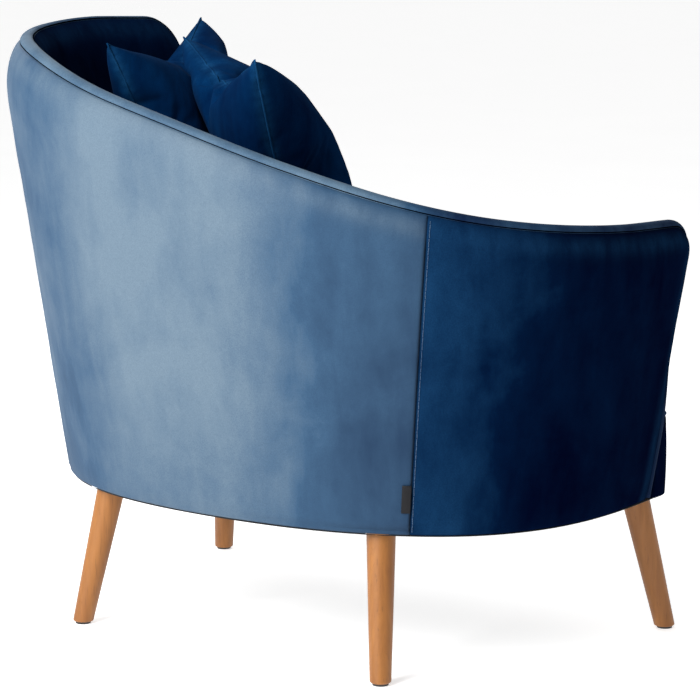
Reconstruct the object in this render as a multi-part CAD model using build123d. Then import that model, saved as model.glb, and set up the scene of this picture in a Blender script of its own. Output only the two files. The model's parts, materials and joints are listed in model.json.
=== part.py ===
from build123d import *
import math
import os

os.makedirs("parts", exist_ok=True)

# Asymmetric upholstered tub armchair: high on the sitter's left, low on the right.
# Millimetres. +X sitter's left, -Y front, +Z up.

# origin: middle of the overall footprint, on the floor
CENTRE_X = 18.65
CENTRE_Y = 223.07

# shell in plan (left half of the base outline, back centre to arm front)
HALF_PLAN = [(0, 463), (230, 428), (382, 320), (436, 130), (432, 40), (428, -110)]
BASE_Z = 200.0
LEAN = 0.147
# rim height along the wall: (distance from back centre, height), right arm to left arm
RIM = [
    (-860, 590), (-620, 600), (-490, 611), (-390, 628), (-290, 654), (-160, 697), (0, 746),
    (160, 790), (290, 826), (390, 840), (490, 848), (620, 853), (860, 846),
]
ROLL_OUT = 30.0
ROLL_OUT_DROP = 72.0
BAND_WIDTH = 19.0
WALL_TOP = 78.0
ROLL_IN_DROP = 48.0
WALL_BASE = 90.0
DECK_Z = 330.0
SKIN = 2.6
COVER_LOW = 273.2

# front edges of the arms
FRONT_Y = 4.0
FRONT_LEAN = 0.075
ARM_CORNER = 48.0
SEAM_LENGTH = 338.0
LEFT_SEAM_LENGTH = 475.0

# frame
TIMBER_OUT = -15.0
TIMBER_IN = -45.0
RAIL_BOTTOM = 206.0
RAIL_TOP = 262.0
TOP_RAIL_DROP = 38.0
TOP_RAIL_DEPTH = 38.0
FRAME_END = 742.0
POSTS = [-725, -520, -340, -110, 110, 340, 520, 725]
POST_WIDTH = 28.0
FRONT_BOW = 80.0

# legs
LEG_TOP_D = 40.0
LEG_FOOT_D = 29.0
LEG_TOP_Z = 203.0
GLIDE = 3.0
REAR_FOOT = (268, 422)
REAR_TOP = (241, 385)
FRONT_FOOT = (412, -66)
FRONT_TOP = (377, -32)

# loose cushions
SEAT_THICK = 100.0
PILLOW = 415.0
PILLOW_THICK = 132.0


def plan_path():
    right = [(-x, y) for x, y in reversed(HALF_PLAN[1:])]
    return Spline(*right, *HALF_PLAN)


PATH = plan_path()
HALF_LENGTH = PATH.length / 2


def station(s):
    """Vertical plane across the wall: X outward, Y up, origin under the base outline."""
    t = 0.5 + s / (2 * HALF_LENGTH)
    along = PATH.tangent_at(t)
    return Plane(origin=PATH.position_at(t), x_dir=(-along.Y, along.X, 0), z_dir=along)


def rim_at(s):
    """Rim height at a distance from the back centre, eased between the control heights."""
    i = 1
    while i < len(RIM) - 2 and RIM[i + 1][0] < s:
        i += 1
    (s0, z0), (s1, z1), (s2, z2), (s3, z3) = RIM[i - 1:i + 3] if i + 3 <= len(RIM) else RIM[-4:]
    if s < s1:
        return z0 + (z1 - z0) * (s - s0) / (s1 - s0)
    if s > s2:
        return z2 + (z3 - z2) * (s - s2) / (s3 - s2)
    a = (s - s1) / (s2 - s1)
    m1 = (z2 - z0) / (s2 - s0) * (s2 - s1)
    m2 = (z3 - z1) / (s3 - s1) * (s2 - s1)
    return (
        (2 * a**3 - 3 * a**2 + 1) * z1
        + (a**3 - 2 * a**2 + a) * m1
        + (3 * a**2 - 2 * a**3) * z2
        + (a**3 - a**2) * m2
    )


def loft_along(section, s_values):
    """Smooth solid through one closed section per station."""
    return Solid.make_loft([section(s).moved(station(s).location) for s in s_values])


def whole_length():
    return [s for s, z in RIM]


def between(first, last):
    inside = [s for s, z in RIM if first + 25 < s < last - 25]
    return [first, *inside, last]


def envelope(inset, bottom):
    """The padded wall as one solid, inset evenly from its finished surface."""

    def section(s):
        rim = rim_at(s)
        lean = LEAN * (rim - BASE_Z)
        top = rim - inset
        shoulder = rim - ROLL_OUT_DROP
        chest = rim - ROLL_IN_DROP
        out_low = LEAN * (bottom - BASE_Z) - inset
        out_high = LEAN * (shoulder - BASE_Z) - inset
        crest_out = lean - ROLL_OUT
        crest_in = crest_out - BAND_WIDTH
        in_high = lean - WALL_TOP + inset
        in_low = inset - WALL_BASE
        r_out = 0.55 * (out_high - crest_out)
        r_in = 0.55 * (crest_in - in_high)
        return Wire([
            Line((out_low, bottom), (out_high, shoulder)),
            Bezier(
                (out_high, shoulder),
                (out_high + 0.4 * LEAN * ROLL_OUT_DROP, shoulder + 0.55 * (top - shoulder)),
                (crest_out + r_out, top),
                (crest_out, top),
            ),
            Line((crest_out, top), (crest_in, top)),
            Bezier(
                (crest_in, top),
                (crest_in - r_in, top),
                (in_high, chest + 0.55 * (top - chest)),
                (in_high, chest),
            ),
            Line((in_high, chest), (in_low, DECK_Z)),
            Line((in_low, DECK_Z), (in_low, bottom)),
            Line((in_low, bottom), (out_low, bottom)),
        ])

    return loft_along(section, whole_length()) & front_keep(inset)


def front_keep(inset):
    """Trims both arms to their leaning front edge with a rounded top corner."""
    keep = []
    for side, end_rim in ((-1, rim_at(-760)), (1, rim_at(760))):
        top = end_rim + 5 - inset
        y_low = FRONT_Y + inset + FRONT_LEAN * 60
        y_top = FRONT_Y + inset - FRONT_LEAN * (top - BASE_Z)
        outline = Polyline(
            (y_low, BASE_Z - 60), (y_top, top), (y_top + 90, top), (y_top + 90, 1000),
            (900, 1000), (900, BASE_Z - 60), close=True,
        )
        face = make_face(outline)
        corner = face.vertices().sort_by_distance((y_top, top, 0))[0]
        face = fillet(corner, ARM_CORNER - inset)
        plane = Plane(origin=(0, 0, 0), x_dir=(0, 1, 0), z_dir=(1, 0, 0))
        keep.append(extrude(plane * face, 800 * side))
    return keep[0] + keep[1]


def slab(u_low, u_high, s_values, z_low=120.0, z_high=960.0):
    """Curtain parallel to the outer face of the wall, between two depths."""

    def section(s):
        low = LEAN * (z_low - BASE_Z)
        high = LEAN * (z_high - BASE_Z)
        return Wire(Polyline(
            (low + u_low, z_low), (low + u_high, z_low),
            (high + u_high, z_high), (high + u_low, z_high), close=True,
        ).edges())

    return loft_along(section, s_values)


def strip(u_in, u_out, low, high, s_values):
    """Bent strip inside the wall; low and high are functions of the station."""

    def section(s):
        z0 = low(s)
        z1 = high(s)
        l0 = LEAN * (z0 - BASE_Z)
        l1 = LEAN * (z1 - BASE_Z)
        return Wire(Polyline(
            (l0 + u_in, z0), (l0 + u_out, z0), (l1 + u_out, z1), (l1 + u_in, z1), close=True,
        ).edges())

    return loft_along(section, s_values)


def side_zone(s, side):
    """Everything on one side of a seam that crosses the wall at a station."""
    plane = station(s)
    inner = plane.from_local_coords((-160, 0, 0))
    outer = plane.from_local_coords((260, 0, 0))
    outline = Polyline(
        (inner.X, inner.Y), (outer.X, outer.Y), (side * 900, 700), (side * 900, -400),
        (side * 90, -400), close=True,
    )
    return Pos(0, 0, 100) * extrude(make_face(outline), 900)


def plan_curve(inset, end):
    """Base outline moved inwards, up to a distance from the back centre."""
    pts = []
    for s in (-end, -620, -490, -390, -290, -160, 0, 160, 290, 390, 490, 620, end):
        p = station(s).from_local_coords((-inset, 0, 0))
        pts.append((p.X, p.Y))
    return Spline(*pts)


def seat_plan(inset, front_y, bow, end=765):
    """Closed plan inside the wall with a bowed front."""
    back = plan_curve(inset, end)
    right = back @ 0
    left = back @ 1
    return make_face([
        back,
        Line(left, (left.X, front_y)),
        ThreePointArc((left.X, front_y), (0, front_y - bow), (right.X, front_y)),
        Line((right.X, front_y), right),
    ])


def front_block(inset, bottom, top):
    """Padded front border of the seat base, wrapped round in front of both arms."""
    y_back = FRONT_Y - FRONT_LEAN * (top - BASE_Z) - 1.0
    side = 431.0 - inset
    y_side = -58.5 + inset
    outline = make_face([
        Line((-side, y_back), (side, y_back)),
        Line((side, y_back), (side, y_side)),
        ThreePointArc((side, y_side), (0, -FRONT_BOW + inset), (-side, y_side)),
        Line((-side, y_side), (-side, y_back)),
    ])
    corners = [v for v in outline.vertices() if v.Y < y_back - 5]
    outline = fillet(corners, 42 - inset)
    return Pos(0, 0, bottom) * extrude(outline, top - bottom)


# ---- upholstery of the wall ----

def wall_skins():
    skin = envelope(0, BASE_Z) - envelope(SKIN, BASE_Z - 20)
    band_zone = slab(1 - ROLL_OUT - BAND_WIDTH, -1 - ROLL_OUT, whole_length())
    faces = (skin - band_zone).solids().sort_by(SortBy.VOLUME)
    outer = faces[-1]
    inner = faces[-2] - Pos(0, 200, COVER_LOW - 100) * Box(1300, 1200, 200)
    right = side_zone(-SEAM_LENGTH, -1)
    left = side_zone(LEFT_SEAM_LENGTH, 1)
    return {
        "outer_side_panel_right": outer & right,
        "outer_side_panel_left": outer & left,
        "outer_back_panel": outer - right - left,
        "rim_band": skin & band_zone,
        "inner_wall_cover": inner,
    }


def wadding_and_foam(padding):
    ends = between(-FRAME_END - 4, FRAME_END + 4)
    drop = TOP_RAIL_DROP - 0.5
    outer = strip(TIMBER_OUT + 5, 90, lambda s: RAIL_BOTTOM, lambda s: rim_at(s) - drop, ends)
    core = strip(TIMBER_IN - 6, 90, lambda s: 120, lambda s: rim_at(s) - drop + 0.4, ends)
    below_deck = Pos(0, 200, COVER_LOW - 100) * Box(1300, 1200, 200)
    return padding & outer, padding - core - below_deck


# ---- timber frame ----

def base_rail(first, last):
    rail = strip(TIMBER_IN, TIMBER_OUT, lambda s: RAIL_BOTTOM, lambda s: RAIL_TOP, between(first, last))
    return drilled(rail)


def front_rail():
    """Bowed rail across the front, behind the padded border."""
    y_end = -14.0
    outline = make_face([
        ThreePointArc((-352, y_end - 26), (0, -FRONT_BOW + 16), (352, y_end - 26)),
        Line((352, y_end - 26), (352, y_end)),
        ThreePointArc((352, y_end), (0, -FRONT_BOW + 42), (-352, y_end)),
        Line((-352, y_end), (-352, y_end - 26)),
    ])
    return drilled(Pos(0, 0, RAIL_BOTTOM) * extrude(outline, RAIL_TOP - RAIL_BOTTOM))


def top_rail():
    low = TOP_RAIL_DROP + TOP_RAIL_DEPTH
    return strip(
        TIMBER_IN, TIMBER_OUT,
        lambda s: rim_at(s) - low, lambda s: rim_at(s) - TOP_RAIL_DROP,
        between(-FRAME_END, FRAME_END),
    )


def post(s):
    """Upright between the base rail and the underside of the top rail."""
    plane = station(s)
    top = min(rim_at(s - POST_WIDTH / 2), rim_at(s + POST_WIDTH / 2))
    z1 = top - TOP_RAIL_DROP - TOP_RAIL_DEPTH - 4
    z0 = RAIL_TOP + 0.2
    l0 = LEAN * (z0 - BASE_Z)
    l1 = LEAN * (z1 - BASE_Z)
    face = make_face(Polyline(
        (l0 + TIMBER_IN + 2, z0), (l0 + TIMBER_OUT - 2, z0),
        (l1 + TIMBER_OUT - 2, z1), (l1 + TIMBER_IN + 2, z1), close=True,
    ))
    return extrude(plane * face, POST_WIDTH / 2, both=True)


def backing_board():
    """Thin bent board on the outside of the posts, between the base and top rails."""
    return strip(
        TIMBER_OUT - 1, TIMBER_OUT + 2,
        lambda s: RAIL_TOP + 1.5, lambda s: rim_at(s) - TOP_RAIL_DROP - TOP_RAIL_DEPTH - 3,
        between(-FRAME_END, FRAME_END),
    )


def back_webbing():
    """Two elastic straps round the inside of the posts."""
    ends = between(-FRAME_END, FRAME_END)
    low = strip(TIMBER_IN - 3, TIMBER_IN - 1, lambda s: 345, lambda s: 395, ends)
    high = strip(TIMBER_IN - 3, TIMBER_IN - 1, lambda s: 430, lambda s: 480, ends)
    return Compound(children=[low, high])


# ---- legs ----

LEG_SPOTS = {
    "rear_left": (REAR_FOOT, REAR_TOP, 1),
    "rear_right": (REAR_FOOT, REAR_TOP, -1),
    "front_left": (FRONT_FOOT, FRONT_TOP, 1),
    "front_right": (FRONT_FOOT, FRONT_TOP, -1),
}


def leg_axis(foot, top, side):
    low = Vector(foot[0] * side, foot[1], GLIDE)
    high = Vector(top[0] * side, top[1], LEG_TOP_Z)
    return low, high


def leg(foot, top, side):
    """Turned tapered leg, splayed, with its ends cut level."""
    low, high = leg_axis(foot, top, side)
    axis = (high - low).normalized()
    length = (high - low).length
    taper = (LEG_TOP_D - LEG_FOOT_D) / 2 / length
    over = 15.0
    cone = Solid.make_cone(
        LEG_FOOT_D / 2 - taper * over, LEG_TOP_D / 2 + taper * over, length + 2 * over,
        Plane(origin=low - axis * over, z_dir=axis),
    )
    middle = Pos(low.X, low.Y, (GLIDE + LEG_TOP_Z) / 2) * Box(200, 200, LEG_TOP_Z - GLIDE)
    body = cone & middle
    foot_edge = body.edges().group_by(Axis.Z)[0]
    body = fillet(foot_edge, 2.5)
    bolt_hole = Pos(high.X, high.Y, LEG_TOP_Z - 30) * Cylinder(4.2, 60.2)
    return body - bolt_hole


def at_leg_tops(shape):
    return [Pos(top[0] * side, top[1], 0) * shape for foot, top, side in LEG_SPOTS.values()]


def leg_glides():
    pads = []
    for foot, top, side in LEG_SPOTS.values():
        pads.append(Pos(foot[0] * side, foot[1], GLIDE / 2) * Cylinder(11, GLIDE - 0.02))
    return Compound(children=pads)


PLATE_Z = LEG_TOP_Z + 0.1
PLATE_THICK = 2.4
BLOCK_LOW = PLATE_Z + PLATE_THICK + 0.1
BLOCK_TOP = 246.0
SCREW_RING = 23.6


def screw_spots():
    return [Rot(0, 0, 45 + 90 * i) * Pos(SCREW_RING, 0, 0) for i in range(4)]


def leg_plates():
    plate = Pos(0, 0, PLATE_Z + PLATE_THICK / 2) * Cylinder(27.5, PLATE_THICK)
    plate -= Pos(0, 0, PLATE_Z) * Cylinder(4.2, 20)
    for spot in screw_spots():
        plate -= spot * Pos(0, 0, PLATE_Z) * Cylinder(2.2, 20)
    return Compound(children=at_leg_tops(plate))


def plate_screws():
    """Pan-head screws up through each plate into its block."""
    screw = Pos(0, 0, PLATE_Z - 0.95) * Cylinder(3.0, 1.7) + Pos(0, 0, PLATE_Z + 8.5) * Cylinder(2.0, 19)
    parts = []
    for foot, top, side in LEG_SPOTS.values():
        for spot in screw_spots():
            parts.append(Pos(top[0] * side, top[1], 0) * spot * screw)
    return Compound(children=parts)


def hanger_bolts():
    bolt = Pos(0, 0, LEG_TOP_Z - 8) * Cylinder(4.0, 82)
    return Compound(children=at_leg_tops(bolt))


def drilled(timber):
    """Clearance holes for the hanger bolts and plate screws that enter a timber."""
    holes = Pos(0, 0, BLOCK_LOW + 15) * Cylinder(4.2, 60)
    for spot in screw_spots():
        holes += spot * Pos(0, 0, BLOCK_LOW + 6) * Cylinder(2.2, 22)
    for hole in at_leg_tops(holes):
        timber = timber - hole
    return timber


def leg_blocks(rails):
    """Corner blocks the leg plates are screwed to, cut to fit against the rails."""
    z_mid = (BLOCK_LOW + BLOCK_TOP) / 2
    block = Pos(0, 0, z_mid) * Box(92, 84, BLOCK_TOP - BLOCK_LOW)
    inside = Pos(0, 0, 150) * extrude(seat_plan(-TIMBER_IN + 4, -40, 14), 150)
    inside = inside + front_block(SKIN + 14, 150, 300)
    blocks = []
    for piece in at_leg_tops(block):
        piece = piece & inside
        for rail in rails:
            piece = piece - rail
        blocks.append(drilled(piece.solids().sort_by(SortBy.VOLUME)[-1]))
    return Compound(children=blocks)


# ---- seat suspension ----

SPRING_Z = 268.0
SPRING_X = [-250, -170, -50, 50, 170, 250]
SPRING_WIRE = 1.9


def spring_ends(x):
    front = -FRONT_BOW + 42 + x * x * 24 / 352**2
    rear = 427 - 12.5 * (abs(x) / 150) ** 2.5
    return front, rear


def seat_springs():
    """Sinuous springs from the front rail to the rear rail."""
    parts = []
    for x in SPRING_X:
        front, rear = spring_ends(x)
        loops = 14
        pitch = (rear - front) / loops
        pts = [(x, front, SPRING_Z)]
        for i in range(loops):
            side = 20 if i % 2 else -20
            pts.append((x + side, front + pitch * (i + 0.5), SPRING_Z))
        pts.append((x, rear, SPRING_Z))
        wire = Spline(*pts)
        profile = Plane(origin=wire @ 0, z_dir=wire % 0) * Circle(SPRING_WIRE)
        parts.append(sweep(profile, path=wire))
    return Compound(children=parts)


def spring_clips():
    """Sheet metal clips stapled on the rails; each holds one spring end."""
    parts = []
    for x in SPRING_X:
        front, rear = spring_ends(x)
        for y, way in ((front, -1), (rear, 1)):
            base = Pos(x, y + way * 13, RAIL_TOP + 1) * Box(16, 20, 1.4)
            stop = Pos(x, y + way * 3.4, SPRING_Z - 1.25) * Box(16, 1.2, 7.5)
            parts.append(base + stop)
    return Compound(children=parts)


def tie_wires():
    """Cross wires that hold the springs apart, lying on top of them."""
    z = SPRING_Z + 3.4
    wires = [Pos(0, y, z) * Rot(0, 90, 0) * Cylinder(1.2, 560) for y in (110, 260)]
    return Compound(children=wires)


DECK_INSET = WALL_BASE + 2.5
DECK_FRONT = -4.4


def deck_felt():
    return Pos(0, 0, 273.5) * extrude(seat_plan(DECK_INSET, DECK_FRONT, 0.5, 725), 4)


def deck_foam():
    return Pos(0, 0, 278) * extrude(seat_plan(DECK_INSET, DECK_FRONT, 0.5, 725), 48)


def deck_cloth():
    return Pos(0, 0, 326.4) * extrude(seat_plan(DECK_INSET, -12, 0.5), 1.6)


def dust_cover():
    """Thin cloth under the seat, with a clear hole round every leg."""
    cloth = seat_plan(SKIN + 3.0, FRONT_Y - 16, 46)
    cloth = Pos(0, 0, 199.1) * extrude(cloth, 0.7)
    for hole in at_leg_tops(Pos(0, 0, 200) * Cylinder(30, 20)):
        cloth -= hole
    return cloth


def dust_cover_staples():
    """Staples through the dust cover into the bottom of the rear rail."""
    wire = Box(10, 1.0, 1.0)
    parts = []
    for i in range(9):
        plane = station(-200 + 50 * i)
        spot = plane.from_local_coords((-30, 198.5, 0))
        turn = math.degrees(math.atan2(-plane.x_dir.X, plane.x_dir.Y))
        parts.append(Pos(spot.X, spot.Y, 198.55) * Rot(0, 0, turn) * wire)
    return Compound(children=parts)


# ---- front border ----

BORDER_TOP = 322.0


def front_border_cover():
    shell = front_block(0, BASE_Z, BORDER_TOP)
    rounding = [e for e in shell.edges() if e.center().Z > BORDER_TOP - 0.1 and e.center().Y < -8]
    shell = fillet(rounding, 12)
    hollow = front_block(SKIN, BASE_Z - 20, BORDER_TOP - SKIN)
    rounding = [e for e in hollow.edges() if e.center().Z > BORDER_TOP - 5 and e.center().Y < -8]
    open_back = Pos(0, -3, 220) * Box(840, 14, 160)
    return shell - fillet(rounding, 12 - SKIN) - open_back


def front_border_foam():
    foam = front_block(SKIN + 0.5, RAIL_BOTTOM, BORDER_TOP - SKIN - 0.5)
    room = Pos(0, -30, RAIL_BOTTOM) * Box(836, 72, 2 * (SPRING_Z + 4 - RAIL_BOTTOM))
    rounding = [e for e in foam.edges() if e.center().Z > BORDER_TOP - 5 and e.center().Y < -8]
    return fillet(rounding, 12 - SKIN) - room


# ---- loose cushions ----

def seat_cushion_body(inset):
    """Box cushion with a bowed front, crowned top and rounded borders."""
    plan = seat_plan(WALL_BASE + 6 + inset, inset - 46, 34)
    block = Pos(0, 0, DECK_Z + 0.3 + inset) * extrude(plan, SEAT_THICK - 2 * inset)
    rounding = [e for e in block.edges() if abs(e.tangent_at(0.5).Z) < 0.1]
    return fillet(rounding, 26 - inset)


def pillow_half(scale, side):
    """One face of a knife-edged cushion: pinched square at the seam, domed middle."""
    levels = [(0.0, 1.0, -0.055), (0.22, 0.93, -0.03), (0.55, 0.78, 0.01), (0.85, 0.55, 0.05), (1.0, 0.28, 0.09)]
    sections = []
    for height, width, bulge in levels:
        h = PILLOW / 2 * width * scale
        b = h + PILLOW * bulge * scale
        z = side * PILLOW_THICK / 2 * height * scale
        corners = [(h, -h), (h, h), (-h, h), (-h, -h)]
        mids = [(b, 0), (0, b), (-b, 0), (0, -b)]
        edges = []
        for i in range(4):
            a = corners[i]
            c = corners[(i + 1) % 4]
            edges.append(ThreePointArc(a, mids[i], c))
        sections.append(Pos(0, 0, z) * Wire(edges))
    return Solid.make_loft(sections, ruled=True)


def pillow(scale):
    return pillow_half(scale, 1) + pillow_half(scale, -1)


def pillow_frame(centre, along, up):
    """Cushion pose: local X along its top edge, local Y up, local Z out of the leaning face."""
    x = Vector(*along).normalized()
    y = Vector(*up)
    y = (y - x * y.dot(x)).normalized()
    return Plane(origin=centre, x_dir=x, z_dir=x.cross(y))


REAR_PILLOW = pillow_frame((313, 134, 645.5), (-165, 385, -27), (92, 40, 398))
FRONT_PILLOW = pillow_frame((74, 201, 630), (-325, 247, -9), (90, 119, 388))


def zip_slider(clearance):
    """Pull of the concealed zip, in a notch of the bottom seam."""
    side = PILLOW / 2
    return Pos(-110, 14 - side, 0) * Box(7 + clearance, 12 + clearance, 4 + clearance)


def scatter_cushion(frame):
    """Velvet cover, filling and zip slider of one loose cushion."""
    body = pillow(1.0)
    notch = zip_slider(0.6)
    cover = body - pillow(0.985) - notch
    filling = pillow(0.978) - notch
    return [frame.location * piece for piece in (cover, filling, zip_slider(0))]


def side_tag():
    """Small blank woven tag caught in the rear right seam."""
    plane = station(-SEAM_LENGTH + 6.5)
    low = LEAN * (232 - BASE_Z)
    high = LEAN * (272 - BASE_Z)
    face = make_face(Polyline(
        (low + 0.9, 232), (low + 1.7, 232), (high + 1.7, 272), (high + 0.9, 272), close=True,
    ))
    return extrude(plane * face, 6, both=True)


def save(name, shape):
    origin = Pos(-CENTRE_X, -CENTRE_Y, 0)
    solids = [origin * solid for solid in shape.solids()]
    whole = solids[0] if len(solids) == 1 else Compound(solids)
    export_step(whole, "parts/" + name + ".step", write_pcurves=False)


def main():
    for name, panel in wall_skins().items():
        save(name, panel)
    padding = envelope(SKIN + 0.4, BASE_Z + 2)
    wadding, foam = wadding_and_foam(padding)
    save("outer_wadding", wadding)
    save("wall_foam", foam)
    save("side_tag", side_tag())

    rails = {
        "rear_rail": base_rail(-300, 300),
        "side_rail_left": base_rail(300.5, FRAME_END),
        "side_rail_right": base_rail(-FRAME_END, -300.5),
        "front_rail": front_rail(),
    }
    blocks = leg_blocks(rails.values())
    for name, rail in rails.items():
        save(name, rail)
    save("top_rail", top_rail())
    save("backing_board", backing_board())
    save("back_webbing", back_webbing())
    for i, s in enumerate(POSTS):
        save("wall_post_%d" % (i + 1), post(s))

    for name, spot in LEG_SPOTS.items():
        save("leg_" + name, leg(*spot))
    save("leg_glides", leg_glides())
    save("leg_plates", leg_plates())
    save("plate_screws", plate_screws())
    save("hanger_bolts", hanger_bolts())
    save("leg_blocks", blocks)

    save("seat_springs", seat_springs())
    save("spring_clips", spring_clips())
    save("tie_wires", tie_wires())
    save("deck_felt", deck_felt())
    save("deck_foam", deck_foam())
    save("deck_cloth", deck_cloth())
    save("dust_cover", dust_cover())
    save("dust_cover_staples", dust_cover_staples())
    save("front_border_cover", front_border_cover())
    save("front_border_foam", front_border_foam())

    save("seat_cushion_cover", seat_cushion_body(0) - seat_cushion_body(1.5))
    save("seat_cushion_foam", seat_cushion_body(2.0))
    for side, frame in (("rear", REAR_PILLOW), ("front", FRONT_PILLOW)):
        cover, filling, slider = scatter_cushion(frame)
        save("scatter_cover_" + side, cover)
        save("scatter_filling_" + side, filling)
        save("scatter_zip_" + side, slider)


main()
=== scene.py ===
import json
import math

import bmesh
import bpy
import numpy as np
from mathutils import Matrix, Vector, noise

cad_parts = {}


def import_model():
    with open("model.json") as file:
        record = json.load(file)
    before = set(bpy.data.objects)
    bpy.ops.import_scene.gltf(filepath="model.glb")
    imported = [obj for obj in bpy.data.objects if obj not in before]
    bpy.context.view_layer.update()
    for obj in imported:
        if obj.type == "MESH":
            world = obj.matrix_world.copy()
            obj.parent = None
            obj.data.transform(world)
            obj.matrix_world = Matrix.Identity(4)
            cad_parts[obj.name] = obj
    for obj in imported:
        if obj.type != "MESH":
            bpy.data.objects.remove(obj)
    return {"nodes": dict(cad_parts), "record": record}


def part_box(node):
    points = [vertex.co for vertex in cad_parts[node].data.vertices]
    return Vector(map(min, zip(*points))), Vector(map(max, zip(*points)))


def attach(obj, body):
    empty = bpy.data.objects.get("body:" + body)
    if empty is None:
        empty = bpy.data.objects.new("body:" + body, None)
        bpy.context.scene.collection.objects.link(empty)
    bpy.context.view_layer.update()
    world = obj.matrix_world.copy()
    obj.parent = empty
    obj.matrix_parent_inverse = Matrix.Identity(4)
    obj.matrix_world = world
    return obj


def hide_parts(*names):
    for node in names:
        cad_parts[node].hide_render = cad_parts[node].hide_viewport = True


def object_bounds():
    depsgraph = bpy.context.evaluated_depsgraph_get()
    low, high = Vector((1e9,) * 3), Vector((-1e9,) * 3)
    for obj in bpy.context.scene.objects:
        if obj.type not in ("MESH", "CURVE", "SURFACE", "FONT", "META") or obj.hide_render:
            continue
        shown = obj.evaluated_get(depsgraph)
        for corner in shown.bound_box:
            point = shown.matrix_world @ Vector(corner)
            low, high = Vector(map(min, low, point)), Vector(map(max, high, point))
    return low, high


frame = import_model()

CAD_BOX = [list(corner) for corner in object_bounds()]

# Upholstered tub armchair, high on the sitter's left and low on the right.
# Shapes are worked out in the chair's own frame: millimetres, +X sitter's left, -Y front,
# the plan's middle at x 0 and the front of the arms near y 0. to_row() turns them to metres.


def row_origin():
    """Where the chair frame's zero lies in the row frame: the rear legs stand evenly about it."""
    left_low, left_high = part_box("leg_rear_left")
    right_low, right_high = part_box("leg_rear_right")
    x = (left_low.x + left_high.x + right_low.x + right_high.x) / 4
    y = (left_low.y + left_high.y) / 2 - 0.4004
    return np.array([x, y, 0.0])


ORIGIN = row_origin()


def to_row(points):
    return np.asarray(points, float) / 1000 + ORIGIN


# ---- driving sizes, millimetres ----

HALF_PLAN = [(0, 463), (230, 428), (382, 320), (436, 130), (432, 40), (428, -110)]
RIM = [
    (-860, 590), (-620, 599), (-490, 609), (-390, 624), (-290, 648), (-160, 688), (0, 737),
    (160, 781), (290, 817), (390, 834), (490, 846), (620, 853), (860, 846),
]
BASE_Z = 200.0
DECK_Z = 330.0
DECK_INSET = 89.6
DECK_FRONT = -5.6
LEAN = 0.147
WALL_BASE = 90.0
WALL_TOP = 78.0
ROLL_OUT_REACH = 72.0
ROLL_IN_REACH = 48.0
EDGE_REACH = 38.0
CREST = 33.0
SEAM_DROP = 5.0
SEAM_SPAN = 440.0
HIGH_FROM = 120.0
HIGH_OVER = 220.0
HIGH_CREST = 13.0
HIGH_REACH = 20.0
RIM_STARTS = (500.0, 766.0)
RIM_EASE = 120.0
ARM_END = 745.0
BAND_STEPS = 420
BAND_TILT = 0.62
SEAM_SHADOW_RADIUS = 1.25
COVER_LOW = 273.6
FRONT_Y = 4.0
FRONT_LEAN = 0.075
CORNER = 50.0
HIGH_CORNER = 84.0
RIGHT_SEAM = (-307.0, -331.0)
LEFT_SEAM = (475.0, 475.0)
CLOTH = 1.6
RIBBON = 0.35
PILLOW = 415.0
PILLOW_THICK = 136.0
SEAT_LOW = 330.6
SEAT_HIGH = 430.0
SEAT_INSET = 104.0
SEAT_FRONT = -50.0
SEAT_BOW = 30.0
BORDER_TOP = 322.0
BORDER_HALF = 430.0
BORDER_FRONT = -79.0
BORDER_BOW = 20.0
PILLOW_CUT = 452.0
LIGHT_SIZE = 2.4
KEY_POWER = 222
FILL_POWER = 40
WORLD_STRENGTH = 0.38
FLOOR_GLOW = 0.60
LENS = 142.7
LENS_SHIFT = 0.0075


# ---- curves ----

def smooth_curve(points, samples=1800):
    """Natural cubic through the points, as dense samples."""
    p = np.array(points, float)
    t = np.r_[0, np.cumsum(np.linalg.norm(np.diff(p, axis=0), axis=1))]
    n = len(t)
    h = np.diff(t)
    system = np.eye(n)
    bend = np.zeros_like(p)
    for i in range(1, n - 1):
        system[i, i - 1:i + 2] = h[i - 1], 2 * (h[i - 1] + h[i]), h[i]
        bend[i] = 6 * ((p[i + 1] - p[i]) / h[i] - (p[i] - p[i - 1]) / h[i - 1])
    m = np.linalg.solve(system, bend)
    x = np.linspace(0, t[-1], samples)
    k = np.clip(np.searchsorted(t, x, side="right") - 1, 0, n - 2)
    before = (x - t[k])[:, None]
    after = (t[k + 1] - x)[:, None]
    step = h[k][:, None]
    return (
        m[k] * after**3 / (6 * step) + m[k + 1] * before**3 / (6 * step)
        + (p[k] / step - m[k] * step / 6) * after
        + (p[k + 1] / step - m[k + 1] * step / 6) * before
    )


def lengths(points):
    return np.r_[0, np.cumsum(np.linalg.norm(np.diff(points, axis=0), axis=1))]


def along(points, fractions):
    """Points at fractions of a polyline's length."""
    run = lengths(points)
    at = np.asarray(fractions) * run[-1]
    return np.stack([np.interp(at, run, points[:, i]) for i in range(points.shape[1])], -1)


PLAN = smooth_curve([(-x, y) for x, y in reversed(HALF_PLAN[1:])] + HALF_PLAN)
PLAN_S = lengths(PLAN) - lengths(PLAN)[-1] / 2
PLAN_TANGENT = np.gradient(PLAN, PLAN_S, axis=0)
PLAN_TANGENT /= np.linalg.norm(PLAN_TANGENT, axis=1)[:, None]


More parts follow.
